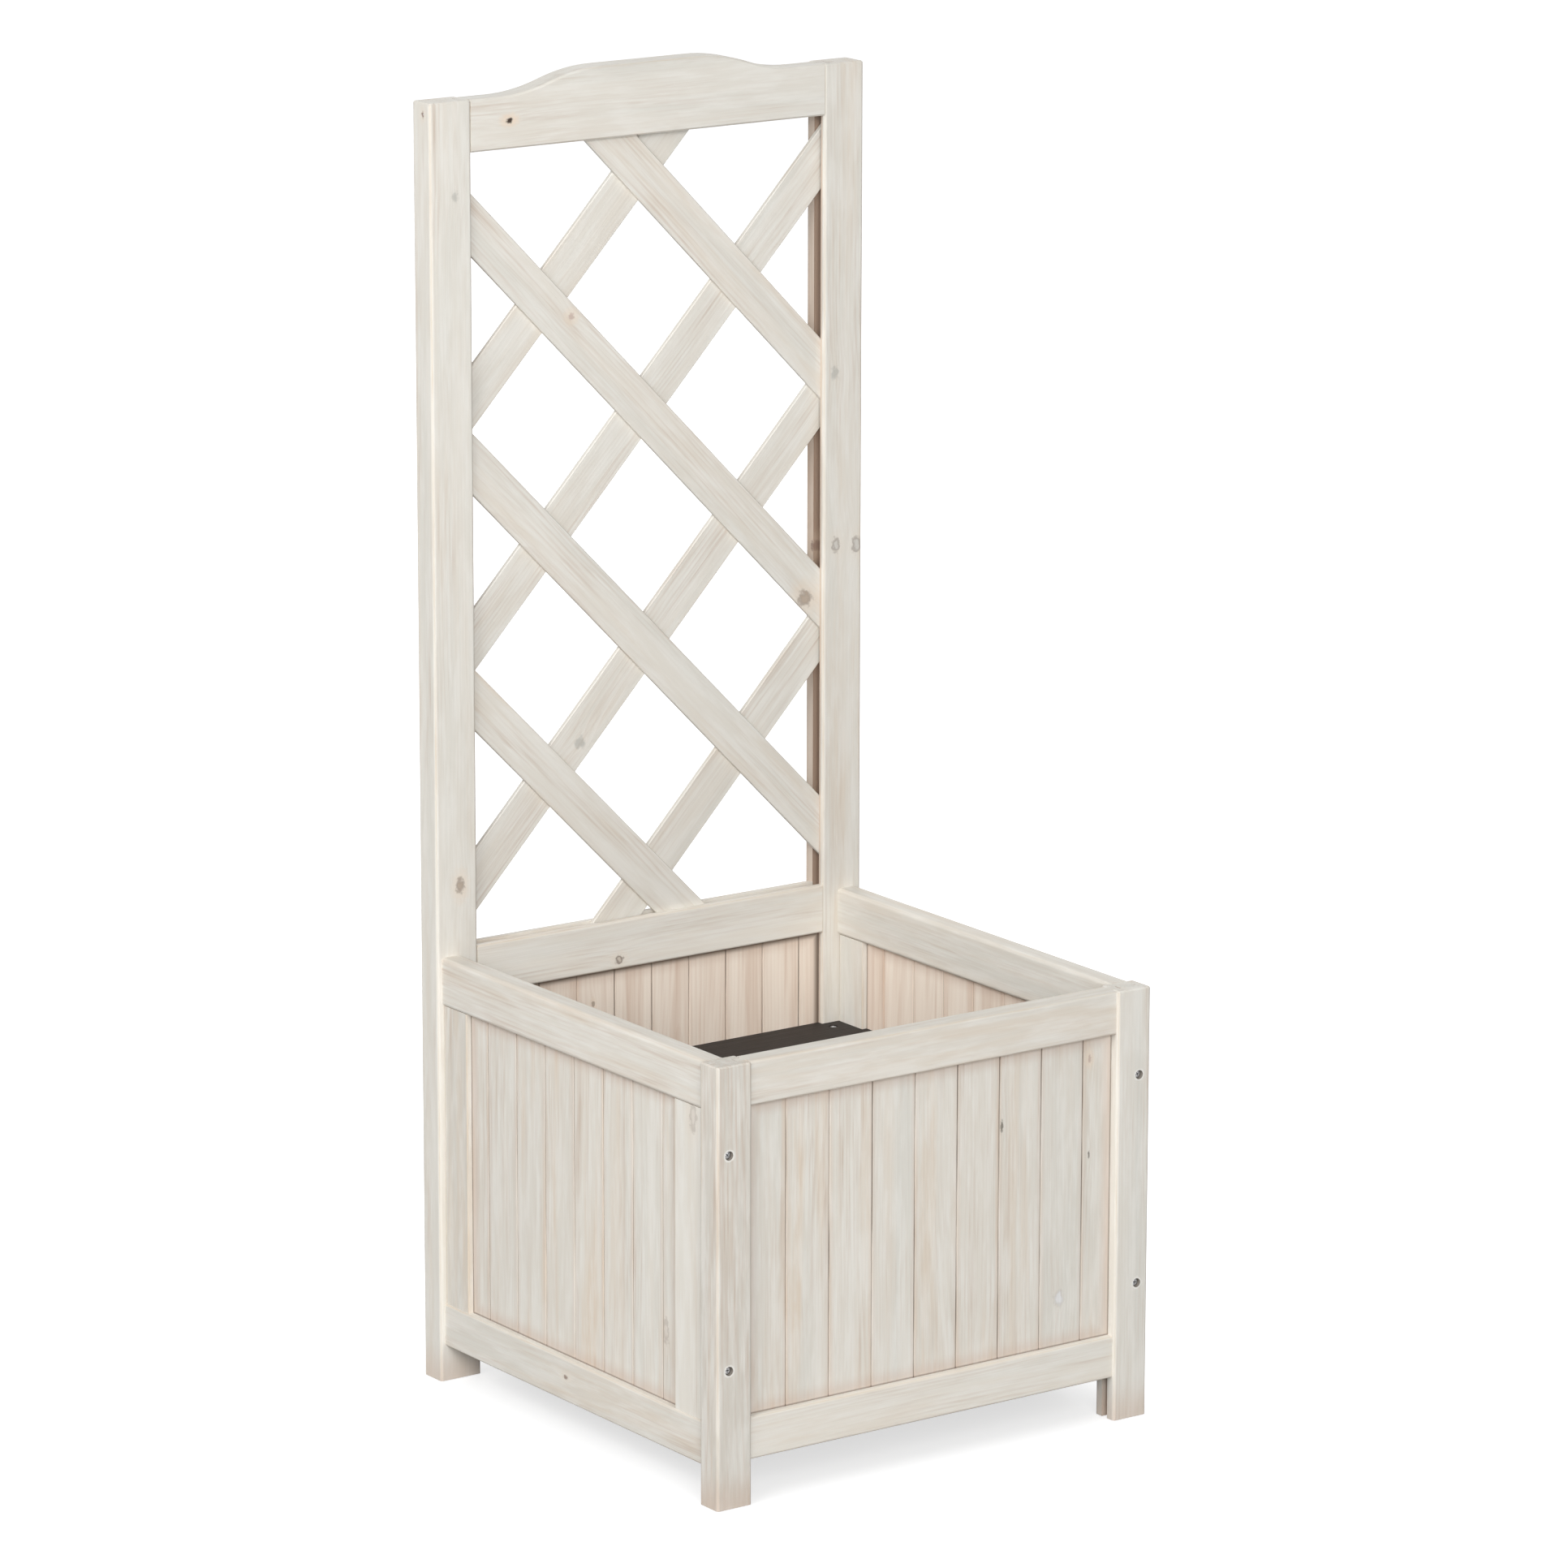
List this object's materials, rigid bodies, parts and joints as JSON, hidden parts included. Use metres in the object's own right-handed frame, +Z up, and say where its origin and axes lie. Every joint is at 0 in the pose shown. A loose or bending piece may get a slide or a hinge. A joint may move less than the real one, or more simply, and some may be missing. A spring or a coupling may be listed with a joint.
{
  "type": "planter with trellis",
  "caption": "Square wooden planter box of tongue-and-groove boards on legs, with two tall back posts that carry a diagonal lattice trellis under an arched top rail.",
  "frame": {"origin": "on the ground under the middle of the planter", "axes": "+Z up, +X to the right seen from the front, +Y from the front to the trellis at the back"},
  "size_m": [0.4, 0.4, 1.016],
  "materials": {
    "whitewashed_wood": "thin white wash over softwood, grain showing, matt",
    "bare_wood": "planed softwood, unfinished",
    "dark_floor": "dark brown panel, dull",
    "steel": "zinc-plated, dull"
  },
  "bodies": {
    "root": {"arch_pins": "steel", "arched_top_rail": "whitewashed_wood", "assembly_screws": "steel", "floor_panel": "dark_floor", "floor_screws": "steel", "front_board_1": "whitewashed_wood", "front_board_2": "whitewashed_wood", "front_board_3": "whitewashed_wood", "front_board_4": "whitewashed_wood", "front_board_5": "whitewashed_wood", "front_board_6": "whitewashed_wood", "front_board_7": "whitewashed_wood", "front_board_8": "whitewashed_wood", "front_board_9": "whitewashed_wood", "front_bottom_rail": "whitewashed_wood", "front_left_leg": "whitewashed_wood", "front_right_leg": "whitewashed_wood", "front_top_rail": "whitewashed_wood", "lattice_back_slat_1": "whitewashed_wood", "lattice_back_slat_2": "whitewashed_wood", "lattice_back_slat_3": "whitewashed_wood", "lattice_back_slat_4": "whitewashed_wood", "lattice_front_slat_1": "whitewashed_wood", "lattice_front_slat_2": "whitewashed_wood", "lattice_front_slat_3": "whitewashed_wood", "lattice_front_slat_4": "whitewashed_wood", "left_bearer": "bare_wood", "left_board_1": "whitewashed_wood", "left_board_2": "whitewashed_wood", "left_board_3": "whitewashed_wood", "left_board_4": "whitewashed_wood", "left_board_5": "whitewashed_wood", "left_board_6": "whitewashed_wood", "left_board_7": "whitewashed_wood", "left_board_8": "whitewashed_wood", "left_bottom_rail": "whitewashed_wood", "left_front_stile": "whitewashed_wood", "left_rear_stile": "whitewashed_wood", "left_top_rail": "whitewashed_wood", "rear_boards": "whitewashed_wood", "rear_bottom_rail": "whitewashed_wood", "rear_left_post": "whitewashed_wood", "rear_right_post": "whitewashed_wood", "right_bearer": "bare_wood", "right_board_1": "whitewashed_wood", "right_board_2": "whitewashed_wood", "right_board_3": "whitewashed_wood", "right_board_4": "whitewashed_wood", "right_board_5": "whitewashed_wood", "right_board_6": "whitewashed_wood", "right_board_7": "whitewashed_wood", "right_board_8": "whitewashed_wood", "right_bottom_rail": "whitewashed_wood", "right_front_stile": "whitewashed_wood", "right_rear_stile": "whitewashed_wood", "right_top_rail": "whitewashed_wood", "trellis_mid_rail": "whitewashed_wood"}
  },
  "joints": []
}
